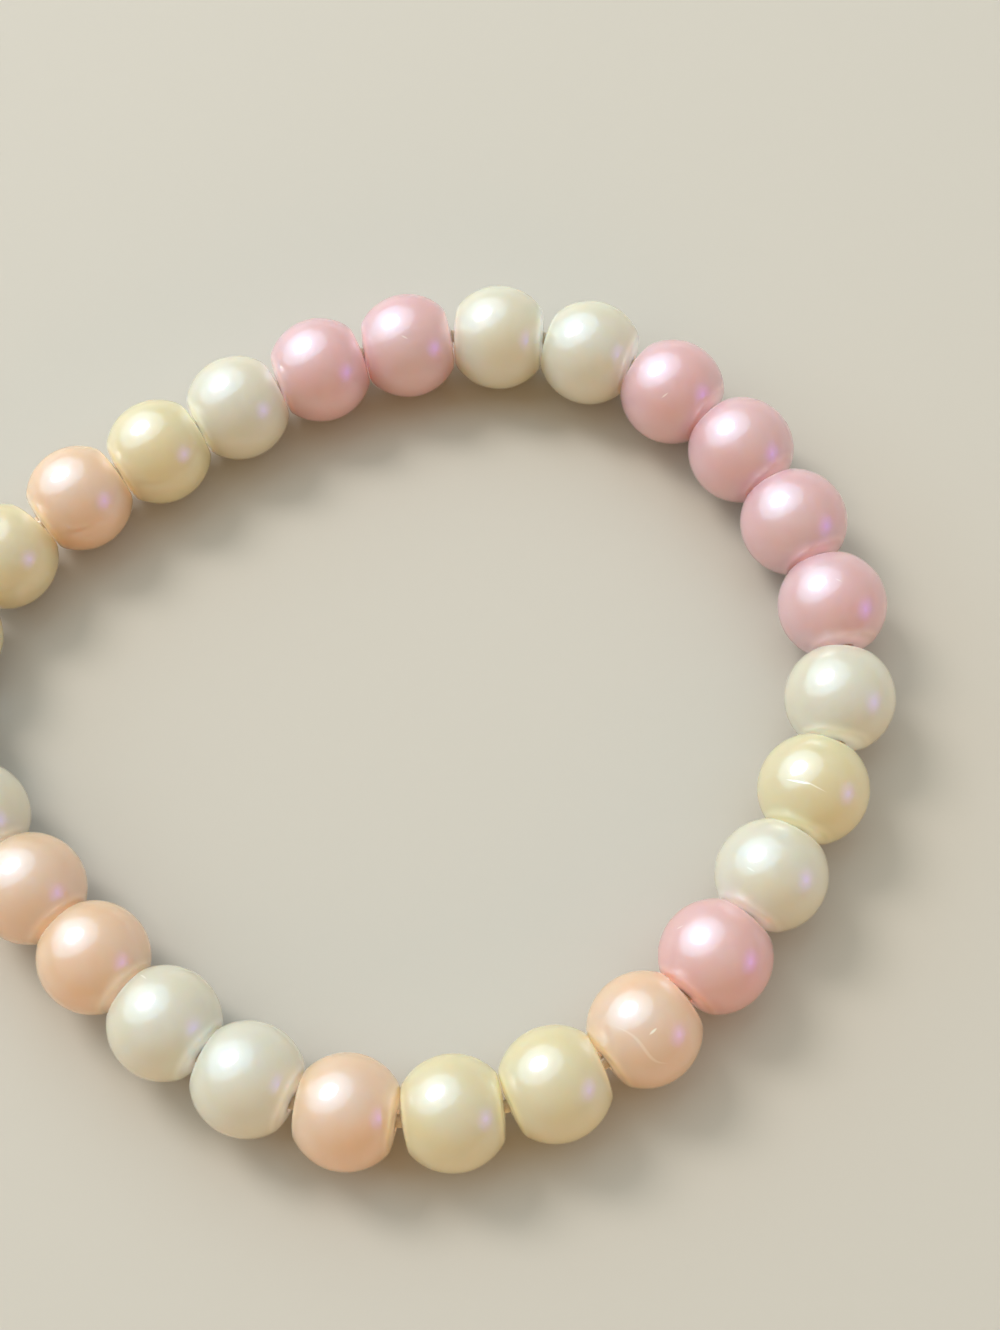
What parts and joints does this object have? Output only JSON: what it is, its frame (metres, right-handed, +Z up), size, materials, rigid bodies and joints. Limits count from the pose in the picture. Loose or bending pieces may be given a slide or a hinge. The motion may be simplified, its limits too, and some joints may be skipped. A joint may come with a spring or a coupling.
{
  "type": "pearl bracelet",
  "caption": "Stretch bracelet: a closed ring of round pastel imitation pearls with flattened ends, drilled and strung on elastic thread, lying flat.",
  "frame": {"origin": "middle of the bracelet's bounding box, on the surface that it lies on", "axes": "+Z up from the surface, the bracelet lying flat; +X to the right and +Y away from the viewer as the picture shows it"},
  "size_m": [0.0744, 0.0678, 0.008],
  "materials": {
    "pearl_white": "pearlescent lacquer",
    "pearl_cream": "pearlescent lacquer",
    "pearl_yellow": "pearlescent lacquer",
    "pearl_peach": "pearlescent lacquer",
    "pearl_pink": "pearlescent lacquer",
    "pearl_rose": "pearlescent lacquer",
    "elastic_thread": "translucent, smooth"
  },
  "bodies": {
    "root": {"bead_01": "pearl_yellow", "bead_02": "pearl_peach", "bead_03": "pearl_yellow", "bead_04": "pearl_white", "bead_05": "pearl_pink", "bead_06": "pearl_pink", "bead_07": "pearl_white", "bead_08": "pearl_white", "bead_09": "pearl_pink", "bead_10": "pearl_pink", "bead_11": "pearl_pink", "bead_12": "pearl_pink", "bead_13": "pearl_white", "bead_14": "pearl_yellow", "bead_15": "pearl_white", "bead_16": "pearl_rose", "bead_17": "pearl_peach", "bead_18": "pearl_yellow", "bead_19": "pearl_yellow", "bead_20": "pearl_peach", "bead_21": "pearl_white", "bead_22": "pearl_white", "bead_23": "pearl_peach", "bead_24": "pearl_peach", "bead_25": "pearl_white", "bead_26": "pearl_cream", "bead_27": "pearl_yellow", "elastic_thread": "elastic_thread"}
  },
  "joints": []
}
